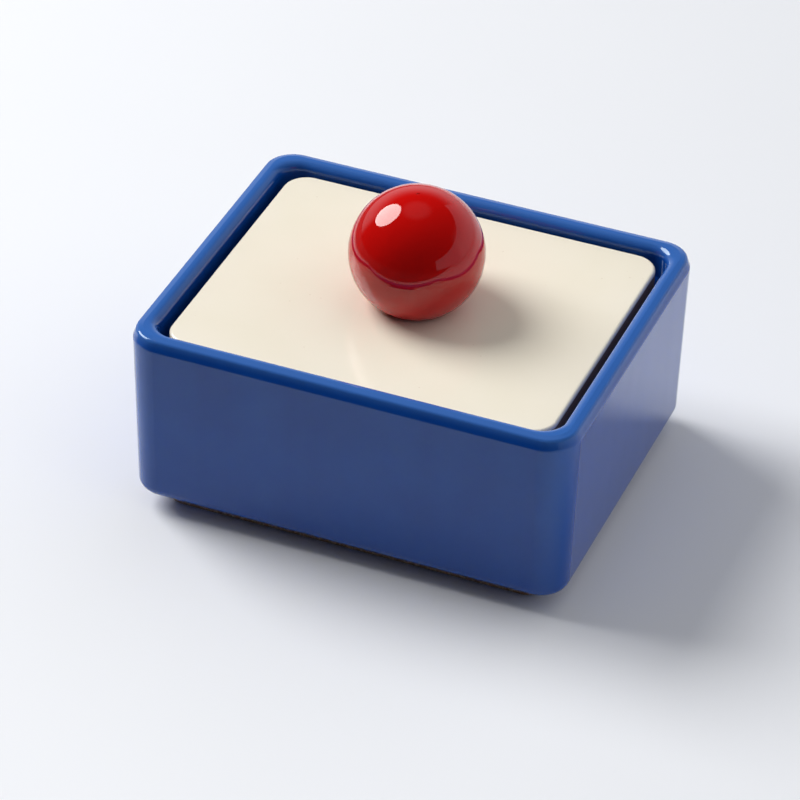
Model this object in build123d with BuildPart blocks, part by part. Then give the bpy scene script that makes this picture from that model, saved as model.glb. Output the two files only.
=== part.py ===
from build123d import *
import os
from math import atan, degrees, radians, sqrt, tan

# Toothpick box: a glazed ceramic box on a low unglazed foot, with a drop-in lid that lifts off by a
# ball knob. X runs along the long side, the front looks along -Y, and the foot stands on Z = 0.

# Box
BODY_LENGTH = 100.0
BODY_WIDTH = 81.6
WALL_HEIGHT = 41.5
DRAFT_ANGLE = 1.27
CORNER_RADIUS = 7.2
RIM_THICKNESS = 4.6
RIM_ROUNDING_SHARE = 0.45
CREST_SHARE = 0.31
CREST_RISE = 0.38
SHOULDER_HEIGHT = 2.15
SHOULDER_INSET = 0.8
SHOULDER_EDGE_ROUNDING = 0.8
SHOULDER_FOOT_ROUNDING = 1.5
BASE_ROUNDING = 2.7
OPENING_CORNER_RADIUS = 5.0
WALL_THICKNESS = 5.0
FLOOR_THICKNESS = 5.0
POCKET_CORNER_RADIUS = 5.0
FLOOR_ROUNDING_SHARE = 0.65
LEDGE_THICKNESS = 2.6
LEDGE_SLOPE_HEIGHT = 5.0
LEDGE_EDGE_ROUNDING = 0.9
MOUTH_CORNER_RADIUS = 6.0

# Foot
FOOT_HEIGHT = 3.8
FOOT_STEP = 2.4
FOOT_CORNER_RADIUS = 5.0
FOOT_RING_WIDTH = 3.8
FOOT_EDGE_ROUNDING = 0.5

# Lid
LID_THICKNESS = 5.0
LID_DROP = 2.3
LID_END_GAP = 2.0
LID_SIDE_GAP = 0.9
LID_CORNER_RADIUS = 5.5
LID_EDGE_ROUNDING = 0.7
LEDGE_OVERLAP = 4.0
REGISTER_HEIGHT = 2.0
REGISTER_CLEARANCE = 1.2
REGISTER_EDGE_ROUNDING = 0.8

# Ball knob
BALL_DIAMETER = 29.2
KNOB_BASE_DIAMETER = 17.4
KNOB_BASE_ROUNDING = 0.4

# Threaded insert, moulded into the ball
INSERT_WALL = 2.0
INSERT_WAIST_DEPTH = 0.8
INSERT_COLLAR_SHARE = 0.35
INSERT_END_WALL = 1.2
THREAD_ENGAGEMENT = 7.5
THREAD_RUNOUT = 3.3

# Screw and washers
SCREW_DIAMETER = 5.0
SCREW_TIP_CHAMFER = 0.5
HEAD_DIAMETER = 9.6
HEAD_HEIGHT = 3.2
HEAD_ROUNDING = 1.6
DRIVE_WIDTH = 1.2
DRIVE_LENGTH = 5.0
DRIVE_DEPTH = 1.8
WASHER_DIAMETER = 11.0
WASHER_THICKNESS = 1.0
LOWER_SOFT_WASHER_DIAMETER = 14.0
LOWER_SOFT_WASHER_THICKNESS = 1.5
UPPER_SOFT_WASHER_DIAMETER = 13.0
UPPER_SOFT_WASHER_THICKNESS = 1.0

# Fits
THREAD_CLEARANCE = 0.1
WASHER_CLEARANCE = 0.4
LID_HOLE_CLEARANCE = 1.2
SOFT_WASHER_SEAT_CLEARANCE = 0.3
CUT_OVERRUN = 1.0
HEIGHT_TOLERANCE = 0.01

# Heights above the table
rim_z = FOOT_HEIGHT + WALL_HEIGHT
shoulder_edge_z = rim_z - CREST_RISE
wall_top_z = shoulder_edge_z - SHOULDER_HEIGHT
floor_z = FOOT_HEIGHT + FLOOR_THICKNESS
lid_top_z = rim_z - LID_DROP
ledge_z = lid_top_z - LID_THICKNESS
ledge_tip_z = ledge_z - LEDGE_THICKNESS
pocket_top_z = ledge_tip_z - LEDGE_SLOPE_HEIGHT
register_z = ledge_z - REGISTER_HEIGHT
ball_centre_z = lid_top_z + sqrt((BALL_DIAMETER / 2) ** 2 - (KNOB_BASE_DIAMETER / 2) ** 2)
insert_z = lid_top_z + UPPER_SOFT_WASHER_THICKNESS
screw_tip_z = insert_z + THREAD_ENGAGEMENT
bore_end_z = screw_tip_z + THREAD_RUNOUT
insert_top_z = bore_end_z + INSERT_END_WALL
washer_top_z = register_z - LOWER_SOFT_WASHER_THICKNESS
head_top_z = washer_top_z - WASHER_THICKNESS

# The walls lean out, so the body is smaller at its base by this much on each side.
side_draft = WALL_HEIGHT * tan(radians(DRAFT_ANGLE))
base_length = BODY_LENGTH - 2 * side_draft
base_width = BODY_WIDTH - 2 * side_draft
wall_draft = (wall_top_z - FOOT_HEIGHT) * tan(radians(DRAFT_ANGLE))
wall_top_length = base_length + 2 * wall_draft
wall_top_width = base_width + 2 * wall_draft
wall_top_radius = CORNER_RADIUS - side_draft + wall_draft

# The rim is rounded over on the inside. Outside, its crest slopes gently out to an edge above a steep shoulder.
rim_rounding = RIM_THICKNESS * RIM_ROUNDING_SHARE
crest_width = RIM_THICKNESS * CREST_SHARE
crest_lean = degrees(atan(crest_width / CREST_RISE))
shoulder_lean = degrees(atan(SHOULDER_INSET / SHOULDER_HEIGHT))
crest_length = wall_top_length - 2 * SHOULDER_INSET
crest_base_width = wall_top_width - 2 * SHOULDER_INSET
floor_rounding = POCKET_CORNER_RADIUS * FLOOR_ROUNDING_SHARE

# The foot stands inside the flat of the body's underside.
foot_inset = BASE_ROUNDING + FOOT_STEP
foot_length = base_length - 2 * foot_inset
foot_width = base_width - 2 * foot_inset

# The opening inside the rim, the lid that lies in it and the mouth that the ledge leaves below it.
opening_length = BODY_LENGTH - 2 * RIM_THICKNESS
opening_width = BODY_WIDTH - 2 * RIM_THICKNESS
lid_length = opening_length - 2 * LID_END_GAP
lid_width = opening_width - 2 * LID_SIDE_GAP
mouth_length = lid_length - 2 * LEDGE_OVERLAP
mouth_width = lid_width - 2 * LEDGE_OVERLAP
register_length = mouth_length - 2 * REGISTER_CLEARANCE
register_width = mouth_width - 2 * REGISTER_CLEARANCE

# The pocket's walls lean out with the outside, so they widen this much up to the ledge's slope.
pocket_growth = (pocket_top_z - floor_z) * tan(radians(DRAFT_ANGLE))
pocket_length = base_length - 2 * WALL_THICKNESS
pocket_width = base_width - 2 * WALL_THICKNESS
pocket_top_length = pocket_length + 2 * pocket_growth
pocket_top_width = pocket_width + 2 * pocket_growth

thread_bore_radius = (SCREW_DIAMETER + THREAD_CLEARANCE) / 2


def at_height(shapes, height):
    """Keep the faces or edges whose middle lies at a height."""
    return shapes.filter_by_position(Axis.Z, height - HEIGHT_TOLERANCE, height + HEIGHT_TOLERANCE)


def washer(diameter, thickness):
    """Add a flat ring that slips over the screw, standing on the plane in use."""
    Cylinder(diameter / 2, thickness, align=(Align.CENTER, Align.CENTER, Align.MIN))
    Hole((SCREW_DIAMETER + WASHER_CLEARANCE) / 2)


def insert_outside(mode=Mode.ADD):
    """Add or cut the insert's turned outside: two collars with a waist that the ball grips."""
    collar = (insert_top_z - insert_z) * INSERT_COLLAR_SHARE
    outer = thread_bore_radius + INSERT_WALL
    waist = outer - INSERT_WAIST_DEPTH
    with BuildSketch(Plane.XZ) as outline:
        with BuildLine():
            Polyline(
                (0, insert_z),
                (outer, insert_z),
                (outer, insert_z + collar),
                (waist, insert_z + collar),
                (waist, insert_top_z - collar),
                (outer, insert_top_z - collar),
                (outer, insert_top_z),
                (0, insert_top_z),
                close=True,
            )
        make_face()
    revolve(outline.sketch, axis=Axis.Z, mode=mode)


# Pocket space: what hollows the box out, from its rounded floor up through the mouth in the ledge
with BuildPart() as pocket_space:
    with BuildSketch(Plane.XY.offset(floor_z)):
        RectangleRounded(pocket_length, pocket_width, POCKET_CORNER_RADIUS)
    extrude(amount=pocket_top_z - floor_z, taper=-DRAFT_ANGLE)
    fillet(pocket_space.edges().group_by(Axis.Z)[0], floor_rounding)
    with BuildSketch(Plane.XY.offset(pocket_top_z)):
        RectangleRounded(pocket_top_length, pocket_top_width, POCKET_CORNER_RADIUS + pocket_growth)
    with BuildSketch(Plane.XY.offset(ledge_tip_z)):
        RectangleRounded(mouth_length, mouth_width, MOUTH_CORNER_RADIUS)
    loft(ruled=True)
    with BuildSketch(Plane.XY.offset(ledge_tip_z)):
        RectangleRounded(mouth_length, mouth_width, MOUTH_CORNER_RADIUS)
    extrude(amount=LEDGE_THICKNESS + CUT_OVERRUN)

# Box body: one fired piece with its ledge, pocket and foot
with BuildPart() as box_body:
    with BuildSketch(Plane.XY.offset(FOOT_HEIGHT)):
        RectangleRounded(base_length, base_width, CORNER_RADIUS - side_draft)
    extrude(amount=wall_top_z - FOOT_HEIGHT, taper=-DRAFT_ANGLE)
    fillet(box_body.edges().group_by(Axis.Z)[0], BASE_ROUNDING)
    with BuildSketch(Plane.XY.offset(wall_top_z)):
        RectangleRounded(wall_top_length, wall_top_width, wall_top_radius)
    extrude(amount=SHOULDER_HEIGHT, taper=shoulder_lean)
    with BuildSketch(Plane.XY.offset(shoulder_edge_z)):
        RectangleRounded(crest_length, crest_base_width, wall_top_radius - SHOULDER_INSET)
    extrude(amount=CREST_RISE, taper=crest_lean)
    with BuildSketch(Plane.XY.offset(ledge_z)):
        RectangleRounded(opening_length, opening_width, OPENING_CORNER_RADIUS)
    extrude(amount=rim_z - ledge_z + CUT_OVERRUN, mode=Mode.SUBTRACT)
    fillet(box_body.faces().sort_by(Axis.Z)[-1].inner_wires().edges(), rim_rounding)
    for height, rounding in ((shoulder_edge_z, SHOULDER_EDGE_ROUNDING), (wall_top_z, SHOULDER_FOOT_ROUNDING)):
        fillet(at_height(box_body.edges(), height), rounding)
    add(pocket_space.part, mode=Mode.SUBTRACT)
    ledge = at_height(box_body.faces().filter_by(Plane.XY), ledge_z)[0]
    fillet(ledge.inner_wires().edges(), LEDGE_EDGE_ROUNDING)
    with BuildSketch():
        RectangleRounded(foot_length, foot_width, FOOT_CORNER_RADIUS)
        offset(amount=-FOOT_RING_WIDTH, mode=Mode.SUBTRACT)
    extrude(amount=FOOT_HEIGHT)
    fillet(box_body.edges().group_by(Axis.Z)[0], FOOT_EDGE_ROUNDING)

# Lid: a flat plate with a register below it that keeps the gap round it even
with BuildPart() as lid:
    with BuildSketch(Plane.XY.offset(ledge_z)):
        RectangleRounded(lid_length, lid_width, LID_CORNER_RADIUS)
    extrude(amount=LID_THICKNESS)
    fillet(lid.edges().group_by(Axis.Z)[0] + lid.edges().group_by(Axis.Z)[-1], LID_EDGE_ROUNDING)
    with BuildSketch(Plane.XY.offset(register_z)):
        RectangleRounded(register_length, register_width, MOUTH_CORNER_RADIUS - REGISTER_CLEARANCE)
    extrude(amount=REGISTER_HEIGHT)
    fillet(lid.edges().group_by(Axis.Z)[0], REGISTER_EDGE_ROUNDING)
    Hole((SCREW_DIAMETER + LID_HOLE_CLEARANCE) / 2)

# Knob: a moulded ball with a flat base, which holds the insert and seats a soft washer
with BuildPart() as knob:
    with Locations((0, 0, ball_centre_z)):
        Sphere(BALL_DIAMETER / 2)
    split(bisect_by=Plane.XY.offset(lid_top_z), keep=Keep.TOP)
    fillet(knob.edges().group_by(Axis.Z)[0], KNOB_BASE_ROUNDING)
    with BuildSketch(Plane.XY.offset(lid_top_z)):
        Circle(UPPER_SOFT_WASHER_DIAMETER / 2 + SOFT_WASHER_SEAT_CLEARANCE)
    extrude(amount=UPPER_SOFT_WASHER_THICKNESS, mode=Mode.SUBTRACT)
    insert_outside(mode=Mode.SUBTRACT)

# Knob insert: turned brass with a blind threaded bore
with BuildPart() as knob_insert:
    insert_outside()
    with BuildSketch(Plane.XY.offset(insert_z)):
        Circle(thread_bore_radius)
    extrude(amount=bore_end_z - insert_z, mode=Mode.SUBTRACT)

# Knob screw: a pan head below the lid and a shank up through it into the insert
with BuildPart(Plane.XY.offset(head_top_z)) as knob_screw:
    Cylinder(HEAD_DIAMETER / 2, HEAD_HEIGHT, align=(Align.CENTER, Align.CENTER, Align.MAX))
    fillet(knob_screw.edges().group_by(Axis.Z)[0], HEAD_ROUNDING)
    with BuildSketch(Plane.XY.offset(head_top_z)):
        Circle(SCREW_DIAMETER / 2)
    extrude(amount=screw_tip_z - head_top_z)
    chamfer(knob_screw.edges().group_by(Axis.Z)[-1], SCREW_TIP_CHAMFER)
    with BuildSketch(Plane.XY.offset(head_top_z - HEAD_HEIGHT)):
        Rectangle(DRIVE_LENGTH, DRIVE_WIDTH)
        Rectangle(DRIVE_WIDTH, DRIVE_LENGTH)
    extrude(amount=DRIVE_DEPTH, mode=Mode.SUBTRACT)

# Washers: a steel one under the head, a soft one each side of the lid
with BuildPart(Plane.XY.offset(head_top_z)) as flat_washer:
    washer(WASHER_DIAMETER, WASHER_THICKNESS)

with BuildPart(Plane.XY.offset(washer_top_z)) as lower_soft_washer:
    washer(LOWER_SOFT_WASHER_DIAMETER, LOWER_SOFT_WASHER_THICKNESS)

with BuildPart(Plane.XY.offset(lid_top_z)) as upper_soft_washer:
    washer(UPPER_SOFT_WASHER_DIAMETER, UPPER_SOFT_WASHER_THICKNESS)

pieces = {
    "box_body": box_body,
    "lid": lid,
    "knob": knob,
    "knob_insert": knob_insert,
    "knob_screw": knob_screw,
    "flat_washer": flat_washer,
    "lower_soft_washer": lower_soft_washer,
    "upper_soft_washer": upper_soft_washer,
}
os.makedirs("parts", exist_ok=True)
for name, piece in pieces.items():
    piece.part.label = name
    export_step(piece.part, f"parts/{name}.step")
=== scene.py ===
# %% [markdown]
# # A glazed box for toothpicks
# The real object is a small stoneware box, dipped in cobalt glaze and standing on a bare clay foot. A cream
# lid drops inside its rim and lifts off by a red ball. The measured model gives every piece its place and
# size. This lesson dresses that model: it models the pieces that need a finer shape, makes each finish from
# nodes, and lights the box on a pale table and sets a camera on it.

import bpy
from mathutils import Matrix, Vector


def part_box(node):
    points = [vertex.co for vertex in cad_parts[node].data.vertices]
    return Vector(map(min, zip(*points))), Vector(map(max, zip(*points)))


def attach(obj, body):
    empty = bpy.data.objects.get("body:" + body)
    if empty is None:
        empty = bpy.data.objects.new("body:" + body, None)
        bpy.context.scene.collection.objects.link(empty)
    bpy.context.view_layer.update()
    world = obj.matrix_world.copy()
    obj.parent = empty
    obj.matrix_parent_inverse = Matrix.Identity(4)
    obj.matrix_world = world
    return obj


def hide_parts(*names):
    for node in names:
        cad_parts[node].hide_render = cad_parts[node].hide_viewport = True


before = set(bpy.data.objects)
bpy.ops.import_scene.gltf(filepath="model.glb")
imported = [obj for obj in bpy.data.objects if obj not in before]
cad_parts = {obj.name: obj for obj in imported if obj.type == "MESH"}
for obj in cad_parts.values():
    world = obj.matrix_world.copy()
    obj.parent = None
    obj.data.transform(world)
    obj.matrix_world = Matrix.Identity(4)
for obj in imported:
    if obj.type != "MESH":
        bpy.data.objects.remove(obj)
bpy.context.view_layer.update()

# %% Blender's own tools
import math

import bmesh
import bpy
from mathutils import Matrix, Vector

MM = 0.001  # the scene is in metres, and this object is thought of in millimetres
print("Blender", bpy.app.version_string)

# %% [markdown]
# ## Three small helpers for finishes
# A finish starts from a colour that can be pointed at in a paint program, an sRGB hex value. Shaders count in
# linear light, so one function converts it. The second helper adds a node, sets it up and links it in one
# line, which keeps a node tree readable as text. The third starts a material and hands back the place on the
# object in millimetres, so that every pattern's scale is one over its real size.

# %% Colours and nodes
def linear(hex_colour):
    """Turn an sRGB hex colour into the linear RGBA that a shader socket holds."""
    channels = [int(hex_colour[i : i + 2], 16) / 255 for i in (1, 3, 5)]
    return [c / 12.92 if c <= 0.04045 else ((c + 0.055) / 1.055) ** 2.4 for c in channels] + [1.0]


def add_node(tree, kind, inputs=None, **settings):
    """Add a node, apply its settings, then link or set each input."""
    made = tree.nodes.new(kind)
    for name, value in settings.items():
        setattr(made, name, value)
    for key, value in (inputs or {}).items():
        if isinstance(value, bpy.types.NodeSocket):
            tree.links.new(value, made.inputs[key])
        else:
            made.inputs[key].default_value = value
    return made


def start_finish(name, **sockets):
    """Start a material on one Principled shader and return the material, its tree, shader and position in mm."""
    material = bpy.data.materials.new(name)
    material.use_nodes = True
    tree = material.node_tree
    tree.nodes.clear()
    shader = add_node(tree, "ShaderNodeBsdfPrincipled", {k.replace("_", " "): v for k, v in sockets.items()})
    add_node(tree, "ShaderNodeOutputMaterial", {"Surface": shader.outputs[0]})
    place = add_node(tree, "ShaderNodeTexCoord").outputs["Object"]
    in_mm = add_node(tree, "ShaderNodeVectorMath", {0: place, 1: (1 / MM, 1 / MM, 1 / MM)}, operation="MULTIPLY")
    return material, tree, shader, in_mm.outputs[0]


print("middle grey, #808080, is", round(linear("#808080")[0], 3), "in linear light")

# %% [markdown]
# ## Cobalt glaze on stoneware
# The box was dipped in a cobalt glaze that melted to a deep blue glass with a thin clear skin. Molten glaze runs
# off edges, so the rim and the corners are paler. The lowest part of the walls is painted a deeper blue, as
# painted shade. The skin is a weak clear coat over the coloured glaze, whose own mirror image is a little cool.
# The foot was wiped clean before firing, so it shows the bare, rough, brown clay, with a rusty line where the
# glaze stops. Edge masks could come from a baked curvature map. Here the shape is known to a tenth of a
# millimetre, so the masks are worked out from the place on the object.

# %% Sizes that the glaze follows
body_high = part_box("box_body")[1]
lid_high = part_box("lid")[1]
RIM_TOP = body_high.z / MM
FOOT_HEIGHT = 3.8
WALL_FOOT = FOOT_HEIGHT + 1.0
CORNER_RADIUS = 7.2
RIM_FADE = 2.0  # the pale rim ends this far below its top
# Painted shade: the walls darken to a deeper blue over this height above their foot.
LOW_SHADE_HEIGHT = 20.0  # the glaze lies thicker over this much of the wall
CORNER_X = body_high.x / MM - CORNER_RADIUS
CORNER_Y = body_high.y / MM - CORNER_RADIUS
print("rim at", round(RIM_TOP, 2), "mm, corners centred on", round(CORNER_X, 2), round(CORNER_Y, 2), "mm")

# %% Cobalt glaze: where it is thin, thick and absent
cobalt_glaze, tree, glaze_shader, spot = start_finish(
    "cobalt_glaze_on_stoneware", IOR=1.45, Specular_Tint=(0.74, 0.93, 1.0, 1.0), Coat_Weight=0.22, Coat_Roughness=0.02
)
axes = add_node(tree, "ShaderNodeSeparateXYZ", {0: spot})
# The rim's top is where the glaze ran thin.
rim_thin = add_node(
    tree, "ShaderNodeMapRange",
    {"Value": axes.outputs["Z"], "From Min": RIM_TOP - RIM_FADE, "From Max": RIM_TOP}, interpolation_type="SMOOTHSTEP",
).outputs[0]
# On an upright corner both distances past the corner's centre are positive, and their product peaks at 45 degrees.
reach = []
for axis, centre in (("X", CORNER_X), ("Y", CORNER_Y)):
    side = add_node(tree, "ShaderNodeMath", {0: axes.outputs[axis]}, operation="ABSOLUTE").outputs[0]
    past = add_node(tree, "ShaderNodeMath", {0: side, 1: centre}, operation="SUBTRACT").outputs[0]
    reach.append(add_node(tree, "ShaderNodeMath", {0: past, 1: 0.0}, operation="MAXIMUM").outputs[0])
corner = add_node(tree, "ShaderNodeMath", {0: reach[0], 1: reach[1]}, operation="MULTIPLY").outputs[0]
corner_thin = add_node(
    tree, "ShaderNodeMath", {0: corner, 1: 2 / CORNER_RADIUS**2}, operation="MULTIPLY", use_clamp=True
).outputs[0]
# The foot's glaze line wanders by a few tenths of a millimetre.
wander = add_node(tree, "ShaderNodeTexNoise", {"Vector": spot, "Scale": 1 / 7.0, "Detail": 3.0}).outputs[0]
line_height = add_node(
    tree, "ShaderNodeMapRange", {"Value": wander, "To Min": FOOT_HEIGHT - 0.7, "To Max": FOOT_HEIGHT + 0.1}
).outputs[0]
above_line = add_node(tree, "ShaderNodeMath", {0: axes.outputs["Z"], 1: line_height}, operation="SUBTRACT").outputs[0]
glazed = add_node(
    tree, "ShaderNodeMapRange", {"Value": above_line, "From Min": -0.08, "From Max": 0.08},
    interpolation_type="SMOOTHSTEP",
).outputs[0]
print("cobalt glaze: masks for rim, corners and foot line")

# %% Cobalt glaze: colour
# Mottling at 16 mm and faint runs 5 mm apart down the walls give the eye the blue's depth.
mottle = add_node(tree, "ShaderNodeTexNoise", {"Vector": spot, "Scale": 1 / 16.0, "Detail": 2.0}).outputs[0]
drawn_out = add_node(tree, "ShaderNodeVectorMath", {0: spot, 1: (1.0, 1.0, 0.08)}, operation="MULTIPLY").outputs[0]
runs = add_node(tree, "ShaderNodeTexNoise", {"Vector": drawn_out, "Scale": 1 / 5.0, "Detail": 0.5}).outputs[0]
depth = add_node(tree, "ShaderNodeMath", {0: runs, 1: 0.3, 2: mottle}, operation="MULTIPLY_ADD").outputs[0]
blue = add_node(
    tree, "ShaderNodeMix",
    {0: add_node(tree, "ShaderNodeMapRange", {"Value": depth, "From Min": 0.4, "From Max": 0.85}).outputs[0],
     6: linear("#0A429B"), 7: linear("#0D49A3")},
    data_type="RGBA",
).outputs[2]
# A thin corner is about a third as pale as the rim, and the rim takes up nearly half of the pale blue.
thin = add_node(
    tree, "ShaderNodeMath", {0: corner_thin, 1: 0.35, 2: rim_thin}, operation="MULTIPLY_ADD", use_clamp=True
).outputs[0]
pale_share = add_node(tree, "ShaderNodeMath", {0: thin, 1: 0.45}, operation="MULTIPLY").outputs[0]
broken = add_node(tree, "ShaderNodeMix", {0: pale_share, 6: blue, 7: linear("#4F82C8")}, data_type="RGBA").outputs[2]
# Painted shade: the walls are painted a deeper blue low down, darker towards their foot.
painted_low_shade = add_node(
    tree, "ShaderNodeMapRange",
    {"Value": axes.outputs["Z"], "From Min": WALL_FOOT, "From Max": WALL_FOOT + LOW_SHADE_HEIGHT,
     "To Min": 0.4, "To Max": 0.0},
).outputs[0]
glaze_colour = add_node(
    tree, "ShaderNodeMix", {0: painted_low_shade, 6: broken, 7: linear("#0D3A88")}, data_type="RGBA"
).outputs[2]
# Bare clay: buff brown with rusty and sandy grains, and a rusty flash just under the glaze line.
grains = add_node(tree, "ShaderNodeTexNoise", {"Vector": spot, "Scale": 1 / 0.5, "Detail": 3.0}).outputs[0]
patches = add_node(tree, "ShaderNodeTexNoise", {"Vector": spot, "Scale": 1 / 12.0, "Detail": 2.0}).outputs[0]
clay = add_node(
    tree, "ShaderNodeMix", {0: patches, 6: linear("#9C8069"), 7: linear("#7F5237")}, data_type="RGBA"
).outputs[2]
clay_grain = add_node(
    tree, "ShaderNodeMix",
    {0: add_node(tree, "ShaderNodeMapRange", {"Value": grains, "From Min": 0.45, "From Max": 0.7}).outputs[0],
     6: clay, 7: linear("#B9A48B")},
    data_type="RGBA",
).outputs[2]
flash = add_node(
    tree, "ShaderNodeMapRange", {"Value": above_line, "From Min": -0.6, "From Max": -0.05, "To Max": 0.7}
).outputs[0]
clay_colour = add_node(
    tree, "ShaderNodeMix", {0: flash, 6: clay_grain, 7: linear("#7A4220")}, data_type="RGBA"
).outputs[2]
surface_colour = add_node(tree, "ShaderNodeMix", {0: glazed, 6: clay_colour, 7: glaze_colour}, data_type="RGBA")
tree.links.new(surface_colour.outputs[2], glaze_shader.inputs["Base Color"])
print("cobalt glaze: colour from", len(tree.nodes), "nodes")

# %% Cobalt glaze: gloss and surface
# Melted glaze is nearly a mirror with a slow swell, about 14 mm from crest to crest. The clay is gritty.
haze = add_node(
    tree, "ShaderNodeMapRange", {"Value": mottle, "From Min": 0.3, "From Max": 0.7, "To Min": 0.02, "To Max": 0.05}
).outputs[0]
gloss = add_node(tree, "ShaderNodeMix", {0: glazed, 2: 0.88, 3: haze}, data_type="FLOAT").outputs[0]
tree.links.new(gloss, glaze_shader.inputs["Roughness"])
swell = add_node(tree, "ShaderNodeTexNoise", {"Vector": spot, "Scale": 1 / 14.0, "Detail": 1.0}).outputs[0]
skin = add_node(tree, "ShaderNodeMath", {0: runs, 1: 0.5, 2: swell}, operation="MULTIPLY_ADD").outputs[0]
swell_bump = add_node(tree, "ShaderNodeBump", {"Strength": 1.0, "Distance": 0.05 * MM, "Height": skin})
grit_height = add_node(tree, "ShaderNodeMix", {0: glazed, 2: grains, 3: 0.5}, data_type="FLOAT").outputs[0]
grit_bump = add_node(
    tree, "ShaderNodeBump",
    {"Strength": 1.0, "Distance": 0.12 * MM, "Height": grit_height, "Normal": swell_bump.outputs[0]},
)
tree.links.new(grit_bump.outputs[0], glaze_shader.inputs["Normal"])
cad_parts["box_body"].material_slots[0].material = cobalt_glaze
print("box body wears", cobalt_glaze.name)

# %% [markdown]
# ## Cream glaze
# The lid has a milky, opaque cream glaze, even and softly glossy, so that it mirrors the ball as a faint blush.
# A few specks of iron from the clay show through. The seat underneath was wiped clean, so that the lid doesn't
# stick in the kiln. Its bare clay is also painted up the lid's side, as painted shade that keeps the gap inside
# the rim dark. The clay could be a second material on its own faces. A band by height does the same on the one
# measured mesh.

# %% Cream glaze: colour
cream_glaze, tree, lid_shader, spot = start_finish("cream_glaze_on_stoneware", IOR=1.55)
axes = add_node(tree, "ShaderNodeSeparateXYZ", {0: spot})
LID_THICKNESS = 5.0
LID_TOP = lid_high.z / MM
LEDGE_TOP = LID_TOP - LID_THICKNESS
GLAZED_EDGE = 1.0  # the glaze comes this far down the side
cloud = add_node(tree, "ShaderNodeTexNoise", {"Vector": spot, "Scale": 1 / 22.0, "Detail": 4.0}).outputs[0]
cream = add_node(
    tree, "ShaderNodeMix",
    {0: add_node(tree, "ShaderNodeMapRange", {"Value": cloud, "From Min": 0.3, "From Max": 0.7}).outputs[0],
     6: linear("#EEE8D7"), 7: linear("#F1EBDC")},
    data_type="RGBA",
).outputs[2]
specks = add_node(tree, "ShaderNodeTexVoronoi", {"Vector": spot, "Scale": 1 / 4.0}).outputs["Distance"]
speck_mask = add_node(
    tree, "ShaderNodeMapRange", {"Value": specks, "From Min": 0.02, "From Max": 0.05, "To Min": 0.3, "To Max": 0.0}
).outputs[0]
speckled = add_node(
    tree, "ShaderNodeMix", {0: speck_mask, 6: cream, 7: linear("#A98A62")}, data_type="RGBA"
).outputs[2]
print("cream glaze: cloud and specks on the lid's top,", round(LID_TOP, 1), "mm up")

# %% Cream glaze: wiped seat, and painted shade on the side
# The band of bare clay runs from the seat up the lid's side, to a millimetre below its top. On the side it is painted
# shade.
clay_band_middle = (LEDGE_TOP + LID_TOP - GLAZED_EDGE) / 2
off_middle = add_node(
    tree, "ShaderNodeMath", {0: axes.outputs["Z"], 1: clay_band_middle}, operation="SUBTRACT"
).outputs[0]
band_distance = add_node(tree, "ShaderNodeMath", {0: off_middle}, operation="ABSOLUTE").outputs[0]
band_edge = clay_band_middle - LEDGE_TOP + 0.05
bare_seat_and_side_shade = add_node(
    tree, "ShaderNodeMapRange",
    {"Value": band_distance, "From Min": band_edge, "From Max": band_edge + 0.07, "To Min": 1.0, "To Max": 0.0},
).outputs[0]
grains = add_node(tree, "ShaderNodeTexNoise", {"Vector": spot, "Scale": 1 / 0.5, "Detail": 3.0}).outputs[0]
clay = add_node(
    tree, "ShaderNodeMix", {0: grains, 6: linear("#967A62"), 7: linear("#744D35")}, data_type="RGBA"
).outputs[2]
lid_colour = add_node(tree, "ShaderNodeMix", {0: bare_seat_and_side_shade, 6: speckled, 7: clay}, data_type="RGBA").outputs[2]
tree.links.new(lid_colour, lid_shader.inputs["Base Color"])
print("bare clay from", round(LEDGE_TOP, 1), "to", round(LID_TOP - GLAZED_EDGE, 1), "mm up")

# %% Cream glaze: gloss and surface
# The glaze is glassy with a slow swell, 16 mm from crest to crest, and the clay is matt.
haze = add_node(
    tree, "ShaderNodeMapRange", {"Value": cloud, "From Min": 0.3, "From Max": 0.7, "To Min": 0.14, "To Max": 0.19}
).outputs[0]
gloss = add_node(tree, "ShaderNodeMix", {0: bare_seat_and_side_shade, 2: haze, 3: 0.85}, data_type="FLOAT").outputs[0]
tree.links.new(gloss, lid_shader.inputs["Roughness"])
swell = add_node(tree, "ShaderNodeTexNoise", {"Vector": spot, "Scale": 1 / 16.0, "Detail": 1.0}).outputs[0]
swell_bump = add_node(tree, "ShaderNodeBump", {"Strength": 1.0, "Distance": 0.04 * MM, "Height": swell})
tree.links.new(swell_bump.outputs[0], lid_shader.inputs["Normal"])
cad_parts["lid"].material_slots[0].material = cream_glaze
print("lid wears", cream_glaze.name)

# %% [markdown]
# ## The ball knob
# The knob is a moulded resin ball, polished to a mirror, with a flat base that stands on the lid. The mould's
# two halves met at the equator and left a hair-thin ridge, and the resin's inlet left a trimmed dimple at the
# top. A plain sphere would lack all of that. Here a sphere is cut flat, its base is rounded and hollowed for
# the soft washer and the brass insert, and the ridge and the dimple are raised and sunk in the mesh.

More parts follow.
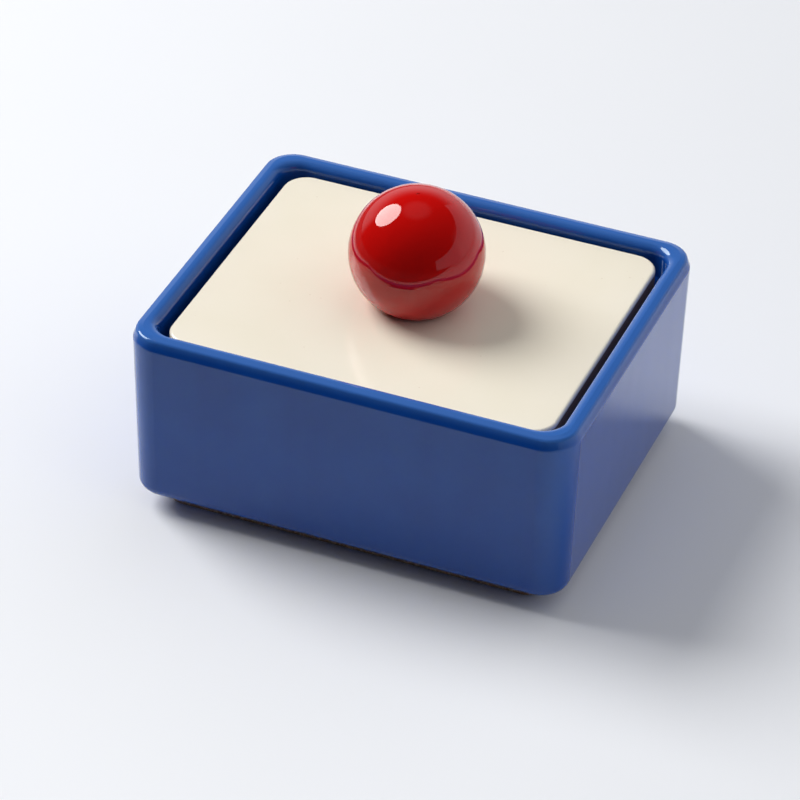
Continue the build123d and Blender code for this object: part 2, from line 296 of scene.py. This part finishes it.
# %% Ball knob: sphere with a flat, rounded base
knob_low, knob_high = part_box("knob")
ball_radius = (knob_high.x - knob_low.x) / 2
ball_centre = Vector((0, 0, knob_high.z - ball_radius))
BASE_ROUNDING = 0.15 * MM
ball = bmesh.new()
bmesh.ops.create_uvsphere(
    ball, u_segments=128, v_segments=80, radius=ball_radius, matrix=Matrix.Translation(ball_centre)
)
cut = bmesh.ops.bisect_plane(
    ball, geom=ball.verts[:] + ball.edges[:] + ball.faces[:], dist=1e-7,
    plane_co=(0, 0, knob_low.z), plane_no=(0, 0, 1), clear_inner=True,
)
base_rim = [e for e in cut["geom_cut"] if isinstance(e, bmesh.types.BMEdge)]
bmesh.ops.edgeloop_fill(ball, edges=base_rim)
bmesh.ops.bevel(
    ball, geom=base_rim, offset=BASE_ROUNDING, offset_type="OFFSET", segments=4, profile=0.5,
    affect="EDGES", material=-1,
)
print("ball of", round(2 * ball_radius / MM, 1), "mm, centre", round(ball_centre.z / MM, 1), "mm up")

# %% Ball knob: seat for the soft washer and bore for the insert
def sink(mesh, face, radius, rise):
    """Inset a round face to the given radius and move the inner face by rise along Z."""
    reach_now = max(v.co.xy.length for v in face.verts)
    bmesh.ops.inset_region(mesh, faces=[face], thickness=reach_now - radius, use_even_offset=True)
    raised = bmesh.ops.extrude_face_region(mesh, geom=[face])["geom"]
    moved = [v for v in raised if isinstance(v, bmesh.types.BMVert)]
    bmesh.ops.translate(mesh, vec=(0, 0, rise), verts=moved)
    if face.is_valid:
        bmesh.ops.delete(mesh, geom=[face], context="FACES_KEEP_BOUNDARY")
    return next(f for f in raised if isinstance(f, bmesh.types.BMFace))


SEAT_CLEARANCE = 0.3 * MM
insert_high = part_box("knob_insert")[1]
seat_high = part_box("upper_soft_washer")[1]
base_face = min((f for f in ball.faces if len(f.verts) > 4), key=lambda f: f.calc_center_median().z)
seat_face = sink(ball, base_face, seat_high.x + SEAT_CLEARANCE, seat_high.z - knob_low.z)
sink(ball, seat_face, insert_high.x, insert_high.z - seat_high.z)
print("base hollowed for a washer and an insert:", len(ball.faces), "faces")

# %% Ball knob: mould ridge and trimmed inlet
RIDGE_HALF_WIDTH = 0.25 * MM
RIDGE_HEIGHT = 0.02 * MM
DIMPLE_LIP = 0.12 * MM
DIMPLE_WALL = 0.08 * MM
DIMPLE_DEPTH = 0.12 * MM


def on_equator(vert):
    """Tell whether a vertex lies on the ball's widest ring."""
    return abs(vert.co.z - ball_centre.z) < 1e-6 and vert.co.xy.length > 0.9 * ball_radius


equator = [e for e in ball.edges if all(on_equator(v) for v in e.verts)]
bmesh.ops.bevel(
    ball, geom=equator, offset=RIDGE_HALF_WIDTH, offset_type="OFFSET", segments=2, profile=0.5,
    affect="EDGES", material=-1,
)
swelling = 1 + RIDGE_HEIGHT / ball_radius
bmesh.ops.scale(ball, vec=(swelling, swelling, 1), verts=[v for v in ball.verts if on_equator(v)])
pole = max(ball.verts, key=lambda v: v.co.z)
bmesh.ops.dissolve_verts(ball, verts=[pole])
top_face = max(ball.faces, key=lambda f: f.calc_center_median().z)
bmesh.ops.inset_region(ball, faces=[top_face], thickness=DIMPLE_LIP)
bmesh.ops.inset_region(ball, faces=[top_face], thickness=DIMPLE_WALL, depth=-DIMPLE_DEPTH)
print("ridge on", len(equator), "edges, dimple", DIMPLE_DEPTH / MM, "mm deep")

# %% From a mesh to a riding piece
SHARP_ANGLE = 35  # degrees


def finish_piece(mesh_work, name, finish, body, node):
    """Close a bmesh into a smooth object that rides on a body and stands for a node of the model."""
    bmesh.ops.recalc_face_normals(mesh_work, faces=mesh_work.faces[:])
    mesh = bpy.data.meshes.new(name)
    mesh_work.to_mesh(mesh)
    mesh_work.free()
    mesh.shade_smooth()
    mesh.set_sharp_from_angle(angle=math.radians(SHARP_ANGLE))
    piece = bpy.data.objects.new(name, mesh)
    bpy.context.scene.collection.objects.link(piece)
    mesh.materials.append(finish)
    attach(piece, body)
    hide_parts(node)
    print(name, "has", len(mesh.polygons), "faces")


print("edges over", SHARP_ANGLE, "degrees stay sharp")

# %% [markdown]
# ## Red moulded resin
# Ball knobs like this are cast or moulded from a phenolic resin, coloured right through and tumbled until they
# shine. The colour is almost flat, with a faint cloud where the resin flowed, so the eye reads the material
# from its sharp reflections and from hairline rubs that dull them a little.

# %% Red resin
red_resin, tree, resin_shader, spot = start_finish("red_phenolic_resin", IOR=1.52)
flow = add_node(
    tree, "ShaderNodeTexNoise", {"Vector": spot, "Scale": 1 / 9.0, "Detail": 3.0, "Distortion": 1.2}
).outputs[0]
red = add_node(
    tree, "ShaderNodeMix", {0: flow, 6: linear("#BE0A07"), 7: linear("#C70D09")}, data_type="RGBA"
).outputs[2]
tree.links.new(red, resin_shader.inputs["Base Color"])
# Rubs from handling: stretched noise, thresholded to thin arcs, about half a millimetre apart.
tilted = add_node(
    tree, "ShaderNodeMapping", {"Vector": spot, "Rotation": (0.5, 0.3, 0.8), "Scale": (2.0, 0.12, 0.5)}
).outputs[0]
rubs = add_node(tree, "ShaderNodeTexNoise", {"Vector": tilted, "Scale": 1.0, "Detail": 2.0}).outputs[0]
shine = add_node(
    tree, "ShaderNodeMapRange", {"Value": rubs, "From Min": 0.55, "From Max": 0.75, "To Min": 0.025, "To Max": 0.08}
).outputs[0]
tree.links.new(shine, resin_shader.inputs["Roughness"])
peel = add_node(tree, "ShaderNodeTexNoise", {"Vector": spot, "Scale": 1 / 6.0, "Detail": 1.0}).outputs[0]
peel_bump = add_node(tree, "ShaderNodeBump", {"Strength": 1.0, "Distance": 0.003 * MM, "Height": peel})
tree.links.new(peel_bump.outputs[0], resin_shader.inputs["Normal"])
finish_piece(ball, "ball_knob", red_resin, "lid_with_knob", "knob")

# %% [markdown]
# ## Soft washers under the ball and the lid
# Five small parts hold the ball: a turned brass insert, a zinc-plated screw, a steel washer, and a soft washer
# on each side of the lid. The screw's head and the washers under it show from below when the lid is off. The
# soft washers are modelled again, because squeezed rubber has no sharp edge. A profile could be spun round. Here
# two rings of wall are bridged, and the outer edges are rounded over nearly the whole thickness, which gives the
# bulge of a squeezed ring.

# %% Silicone rubber
# Silicone is milky and satin, so light seems to sink into it.
silicone, tree, silicone_shader, spot = start_finish("milky_silicone_rubber", IOR=1.41)
milk = add_node(tree, "ShaderNodeTexNoise", {"Vector": spot, "Scale": 1 / 3.0, "Detail": 3.0}).outputs[0]
milky = add_node(
    tree, "ShaderNodeMix", {0: milk, 6: linear("#D2D2CC"), 7: linear("#E0DFD8")}, data_type="RGBA"
).outputs[2]
tree.links.new(milky, silicone_shader.inputs["Base Color"])
satin = add_node(tree, "ShaderNodeMapRange", {"Value": milk, "To Min": 0.4, "To Max": 0.6}).outputs[0]
tree.links.new(satin, silicone_shader.inputs["Roughness"])
fine = add_node(tree, "ShaderNodeTexNoise", {"Vector": spot, "Scale": 1 / 0.4, "Detail": 2.0}).outputs[0]
fine_bump = add_node(tree, "ShaderNodeBump", {"Strength": 1.0, "Distance": 0.015 * MM, "Height": fine})
tree.links.new(fine_bump.outputs[0], silicone_shader.inputs["Normal"])
print("silicone from", len(tree.nodes), "nodes")

# %% Soft washers
SCREW_HOLE = 2.7 * MM
BULGE = 0.4  # share of the thickness that each edge's rounding takes


def soft_washer(node):
    """Model a squeezed ring in the space of the node: two walls bridged, with its outer edges rounded."""
    low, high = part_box(node)
    thickness = high.z - low.z
    ring = bmesh.new()
    for radius in (high.x, SCREW_HOLE):
        bmesh.ops.create_cone(
            ring, cap_ends=False, segments=96, radius1=radius, radius2=radius, depth=thickness,
            matrix=Matrix.Translation((0, 0, (low.z + high.z) / 2)),
        )
    for height in (low.z, high.z):
        loops = [e for e in ring.edges if all(abs(v.co.z - height) < 1e-6 for v in e.verts)]
        bmesh.ops.bridge_loops(ring, edges=loops)
    outer = [
        e for e in ring.edges
        if abs(e.verts[0].co.z - e.verts[1].co.z) < 1e-7 and all(v.co.xy.length > high.x - 1e-5 for v in e.verts)
    ]
    bmesh.ops.bevel(
        ring, geom=outer, offset=BULGE * thickness, offset_type="OFFSET", segments=5, profile=0.5,
        affect="EDGES", material=-1,
    )
    finish_piece(ring, "squeezed_" + node, silicone, "lid_with_knob", node)


for node in ("lower_soft_washer", "upper_soft_washer"):
    soft_washer(node)

# %% [markdown]
# ## Brass and zinc
# The insert is turned from brass bar, and the screw and its washer are pressed from steel and plated with zinc.
# Their measured shapes are fine as they are, so each only gets its metal. Rings and crystals could be modelled.
# At a quarter of a millimetre, noise in the gloss and a slight bump show them as well.

# %% Turned brass
# Fine rings from the cutting tool catch the light in thin bands round the insert.
turned_brass, tree, brass_shader, spot = start_finish("turned_brass", Metallic=1.0)
stacked = add_node(tree, "ShaderNodeVectorMath", {0: spot, 1: (0.05, 0.05, 1.0)}, operation="MULTIPLY").outputs[0]
tool_marks = add_node(tree, "ShaderNodeTexNoise", {"Vector": stacked, "Scale": 1 / 0.25, "Detail": 2.0}).outputs[0]
brass = add_node(
    tree, "ShaderNodeMix", {0: tool_marks, 6: linear("#C9A35A"), 7: linear("#E0C27C")}, data_type="RGBA"
).outputs[2]
tree.links.new(brass, brass_shader.inputs["Base Color"])
brass_gloss = add_node(tree, "ShaderNodeMapRange", {"Value": tool_marks, "To Min": 0.2, "To Max": 0.38}).outputs[0]
tree.links.new(brass_gloss, brass_shader.inputs["Roughness"])
brass_bump = add_node(tree, "ShaderNodeBump", {"Strength": 1.0, "Distance": 0.02 * MM, "Height": tool_marks})
tree.links.new(brass_bump.outputs[0], brass_shader.inputs["Normal"])
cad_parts["knob_insert"].material_slots[0].material = turned_brass
print("insert wears", turned_brass.name)

# %% Zinc-plated steel
# Zinc has a pale bloom of small crystals, which breaks the gloss into patches under a millimetre wide.
zinc_steel, tree, zinc_shader, spot = start_finish("zinc_plated_steel", Metallic=1.0)
crystals = add_node(tree, "ShaderNodeTexVoronoi", {"Vector": spot, "Scale": 1 / 0.8}).outputs["Color"]
clouded = add_node(tree, "ShaderNodeTexNoise", {"Vector": spot, "Scale": 1 / 2.5, "Detail": 4.0}).outputs[0]
zinc = add_node(
    tree, "ShaderNodeMix", {0: clouded, 6: linear("#B4B8BD"), 7: linear("#D3D6DA")}, data_type="RGBA"
).outputs[2]
tree.links.new(zinc, zinc_shader.inputs["Base Color"])
zinc_gloss = add_node(tree, "ShaderNodeMapRange", {"Value": crystals, "To Min": 0.22, "To Max": 0.4}).outputs[0]
tree.links.new(zinc_gloss, zinc_shader.inputs["Roughness"])
zinc_bump = add_node(tree, "ShaderNodeBump", {"Strength": 1.0, "Distance": 0.01 * MM, "Height": clouded})
tree.links.new(zinc_bump.outputs[0], zinc_shader.inputs["Normal"])
for node in ("knob_screw", "flat_washer"):
    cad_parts[node].material_slots[0].material = zinc_steel
print("screw and washer wear", zinc_steel.name)

# %% [markdown]
# ## A pale table
# The box was photographed on a matt, pale table, a little bluish. Its colour carries painted shade: it is greyer
# towards the back right, where the light falls off. A plain white plane would burn out under the lamp and fill
# every gloss with white. So the sheet is greyer under the softbox, outside the picture, and in gloss its pale part
# ends a hand's breadth away, which lets the glaze and the ball mirror the dark room beyond it. The camera sees a
# plain table from every side.

# %% Pale table: colour
paper, tree, paper_shader, spot = start_finish("pale_table", Roughness=0.9, IOR=1.3)
fibre = add_node(tree, "ShaderNodeTexNoise", {"Vector": spot, "Scale": 1 / 60.0, "Detail": 2.0}).outputs[0]
# Painted shade: the table is greyer towards the back right, where the light falls off.
to_back = add_node(
    tree, "ShaderNodeVectorMath", {0: spot, 1: (0.6, 0.8, 0.0)}, operation="DOT_PRODUCT"
).outputs["Value"]
painted_back_shade = add_node(
    tree, "ShaderNodeMapRange",
    {"Value": to_back, "From Min": -120.0, "From Max": 200.0, "To Min": -0.06, "To Max": 0.94},
).outputs[0]
painted_back_shade_and_fibre = add_node(
    tree, "ShaderNodeMath", {0: fibre, 1: 0.12, 2: painted_back_shade}, operation="MULTIPLY_ADD", use_clamp=True
).outputs[0]
near_pale = add_node(
    tree, "ShaderNodeMix", {0: painted_back_shade_and_fibre, 6: linear("#ECEFF5"), 7: linear("#DFE2E8")}, data_type="RGBA"
).outputs[2]
# Greyer under the softbox, so that the table doesn't burn out when it is seen from the right.
to_softbox = add_node(
    tree, "ShaderNodeVectorMath", {0: spot, 1: (-1.0, 0.0, 0.0)}, operation="DOT_PRODUCT"
).outputs["Value"]
under_softbox = add_node(
    tree, "ShaderNodeMapRange", {"Value": to_softbox, "From Min": 170.0, "From Max": 480.0}
).outputs[0]
pale = add_node(
    tree, "ShaderNodeMix", {0: under_softbox, 6: near_pale, 7: linear("#BABDC2")}, data_type="RGBA"
).outputs[2]
print("table: pale near the box, from", len(tree.nodes), "nodes")

# %% Pale table: its end in gloss
# Each end has a direction and the two distances, in millimetres, between which the pale part fades.
PALE_ENDS = {"in front": ((-0.15, -0.99, 0.0), 143.0, 185.0), "on the left": ((-1.0, 0.0, 0.0), 190.0, 280.0)}
past_end = []
for side, (direction, start, end) in PALE_ENDS.items():
    reach_out = add_node(
        tree, "ShaderNodeVectorMath", {0: spot, 1: direction}, operation="DOT_PRODUCT"
    ).outputs["Value"]
    past_end.append(add_node(
        tree, "ShaderNodeMapRange", {"Value": reach_out, "From Min": start, "From Max": end},
        interpolation_type="SMOOTHSTEP",
    ).outputs[0])
    print("pale part ends", side, "at", start, "to", end, "mm")
past_either = add_node(tree, "ShaderNodeMath", {0: past_end[0], 1: past_end[1]}, operation="MAXIMUM").outputs[0]
by_camera = add_node(tree, "ShaderNodeLightPath").outputs["Is Camera Ray"]
dimmed = add_node(
    tree, "ShaderNodeMath", {0: past_either, 1: by_camera}, operation="SUBTRACT", use_clamp=True
).outputs[0]
table_colour = add_node(
    tree, "ShaderNodeMix", {0: dimmed, 6: pale, 7: linear("#3A3D42")}, data_type="RGBA"
).outputs[2]
tree.links.new(table_colour, paper_shader.inputs["Base Color"])

# %% Pale table: sheet
TABLE_HALF_SIDE = 6.0  # m
TABLE_DROP = 0.05 * MM  # a hair below the foot, so that the two faces stay apart
table_work = bmesh.new()
bmesh.ops.create_grid(
    table_work, x_segments=8, y_segments=8, size=TABLE_HALF_SIDE, matrix=Matrix.Translation((0, 0, -TABLE_DROP))
)
table_mesh = bpy.data.meshes.new("table")
table_work.to_mesh(table_mesh)
table_work.free()
table_mesh.materials.append(paper)
table = bpy.data.objects.new("table", table_mesh)
bpy.context.scene.collection.objects.link(table)
print("table", [round(d, 1) for d in table.dimensions], "m")

# %% [markdown]
# ## Soft studio light
# One large round softbox hangs high on the left and a little behind. It throws the soft shadow to the right, and
# it is the highlight on the ball. The room's far wall and ceiling throw some of that light back and keep the
# shadows open. The world could give that fill, but a lamp for each gives it a side and a level. Light that comes
# back so evenly has no shape to mirror, so only the softbox shows in gloss.

# %% Softbox, far wall and ceiling
BOX_MIDDLE = Vector((0, 0, 0.03))


def disc_lamp(name, way, distance, half_angle, level, colour):
    """Hang a round lamp in the given direction. At level 1 a surface that faces it shows its colour as written."""
    lamp = bpy.data.lights.new(name, "AREA")
    lamp.shape = "DISK"
    lamp.size = 2 * distance * math.tan(math.radians(half_angle))
    lamp.energy = level * (math.pi * distance / math.cos(math.radians(half_angle))) ** 2
    lamp.color = colour
    stand = bpy.data.objects.new(name, lamp)
    stand.location = BOX_MIDDLE + way.normalized() * distance
    stand.rotation_euler = way.to_track_quat("Z", "Y").to_euler()
    bpy.context.scene.collection.objects.link(stand)
    print(name, round(lamp.size, 2), "m across,", round(lamp.energy, 1), "W")
    return stand


disc_lamp("softbox", Vector((-0.725, 0.125, 0.68)), 2.3, 18.0, 1.03, (1.0, 0.985, 0.96))
far_wall = disc_lamp("far_wall", Vector((0.65, 0.45, 0.61)), 6.0, 50.0, 0.27, (0.97, 0.98, 1.0))
ceiling = disc_lamp("ceiling", Vector((0.05, 0.1, 1.0)), 4.0, 55.0, 0.15, (1.0, 0.95, 0.86))
for soft_lamp in (far_wall, ceiling):
    soft_lamp.visible_glossy = False

# %% [markdown]
# ## The room that the gloss shows
# Glaze and resin mirror what stands around them. Their dark bands are the unlit room, their pale ones the
# backdrop behind the table and a panel on the right, and a soft glow is the ceiling above the softbox's light.
# An image of a room could do this. A few smooth steps on the direction give the same bands, and each edge is a
# number that can be moved.

# %% Room: where it is pale
room = bpy.data.worlds.new("room")
bpy.context.scene.world = room
room.use_nodes = True
tree = room.node_tree
tree.nodes.clear()
way = add_node(tree, "ShaderNodeTexCoord").outputs["Generated"]
axes = add_node(tree, "ShaderNodeSeparateXYZ", {0: way})
x_way, y_way, z_way = (axes.outputs[a] for a in "XYZ")
# Behind the table: pale low down, fading out by about 38 degrees.
behind = add_node(
    tree, "ShaderNodeMapRange", {"Value": y_way, "From Min": 0.05, "From Max": 0.3}, interpolation_type="SMOOTHSTEP"
).outputs[0]
low = add_node(
    tree, "ShaderNodeMapRange", {"Value": z_way, "From Min": 0.18, "From Max": 0.62, "To Min": 1.0, "To Max": 0.0},
    interpolation_type="SMOOTHSTEP",
).outputs[0]
backdrop = add_node(tree, "ShaderNodeMath", {0: behind, 1: low}, operation="MULTIPLY").outputs[0]
# On the right: a panel whose top edge rises towards the back.
top_edge = add_node(tree, "ShaderNodeMath", {0: y_way, 1: 0.24, 2: 0.397}, operation="MULTIPLY_ADD").outputs[0]
under_top = add_node(tree, "ShaderNodeMath", {0: z_way, 1: top_edge}, operation="LESS_THAN").outputs[0]
front_edge = add_node(tree, "ShaderNodeMath", {0: x_way, 1: -0.74}, operation="MULTIPLY").outputs[0]
past_front = add_node(tree, "ShaderNodeMath", {0: y_way, 1: front_edge}, operation="GREATER_THAN").outputs[0]
right_side = add_node(tree, "ShaderNodeMath", {0: x_way, 1: 0.2}, operation="GREATER_THAN").outputs[0]
panel = add_node(tree, "ShaderNodeMath", {0: under_top, 1: past_front}, operation="MULTIPLY").outputs[0]
panel = add_node(tree, "ShaderNodeMath", {0: panel, 1: right_side}, operation="MULTIPLY").outputs[0]
# Overhead, a little to the back: the patch of ceiling that the softbox lights.
overhead = add_node(
    tree, "ShaderNodeVectorMath", {0: way, 1: (-0.15, 0.29, 0.945)}, operation="DOT_PRODUCT"
).outputs["Value"]
ceiling_patch = add_node(
    tree, "ShaderNodeMapRange", {"Value": overhead, "From Min": 0.92, "From Max": 0.985},
    interpolation_type="SMOOTHSTEP",
).outputs[0]
print("room: masks for the backdrop, the panel and the ceiling")

# %% Room: how pale it is
# These are light levels, so they are written in linear light.
DARK_ROOM = [0.018, 0.02, 0.024, 1.0]
PALE_PARTS = (
    (panel, [0.40, 0.42, 0.48, 1.0]), (backdrop, [0.6, 0.62, 0.66, 1.0]), (ceiling_patch, [0.22, 0.225, 0.24, 1.0])
)
room_colour = DARK_ROOM
for mask, light in PALE_PARTS:
    room_colour = add_node(tree, "ShaderNodeMix", {0: mask, 6: room_colour, 7: light}, data_type="RGBA").outputs[2]
sky = add_node(tree, "ShaderNodeBackground", {"Color": room_colour, "Strength": 1.0})
add_node(tree, "ShaderNodeOutputWorld", {"Surface": sky.outputs[0]})
print("room: dark, with", len(PALE_PARTS), "pale parts")

# %% [markdown]
# ## Camera
# The picture was taken from the right of the front, well above the table, with a long lens that keeps the box's
# sides nearly parallel. The angles were fitted to the box's corners. A constraint could aim the camera, but plain
# vectors leave nothing to solve and also hold the slight roll of a camera that isn't quite level.

# %% Camera
CAMERA_AZIMUTH = math.radians(21.21)
CAMERA_ELEVATION = math.radians(35.58)
CAMERA_ROLL = math.radians(1.55)
CAMERA_DISTANCE = 0.90894  # m
CAMERA_LENS = 191.42  # mm, on a sensor 36 mm wide
camera_target = Vector((1.30, -10.88, 23.8)) * MM
back = Vector((
    math.sin(CAMERA_AZIMUTH) * math.cos(CAMERA_ELEVATION),
    -math.cos(CAMERA_AZIMUTH) * math.cos(CAMERA_ELEVATION),
    math.sin(CAMERA_ELEVATION),
))
level_right = (-back).cross(Vector((0, 0, 1))).normalized()
level_up = level_right.cross(-back)
right = math.cos(CAMERA_ROLL) * level_right + math.sin(CAMERA_ROLL) * level_up
up = -math.sin(CAMERA_ROLL) * level_right + math.cos(CAMERA_ROLL) * level_up
camera_data = bpy.data.cameras.new("camera")
camera_data.sensor_width = 36
camera_data.lens = CAMERA_LENS
camera = bpy.data.objects.new("camera", camera_data)
turn = Matrix((right, up, back)).transposed().to_4x4()
camera.matrix_world = Matrix.Translation(camera_target + back * CAMERA_DISTANCE) @ turn
bpy.context.scene.collection.objects.link(camera)
bpy.context.scene.camera = camera
bpy.context.scene.view_settings.view_transform = "Standard"
print("camera at", [round(c, 3) for c in camera.location], "m")
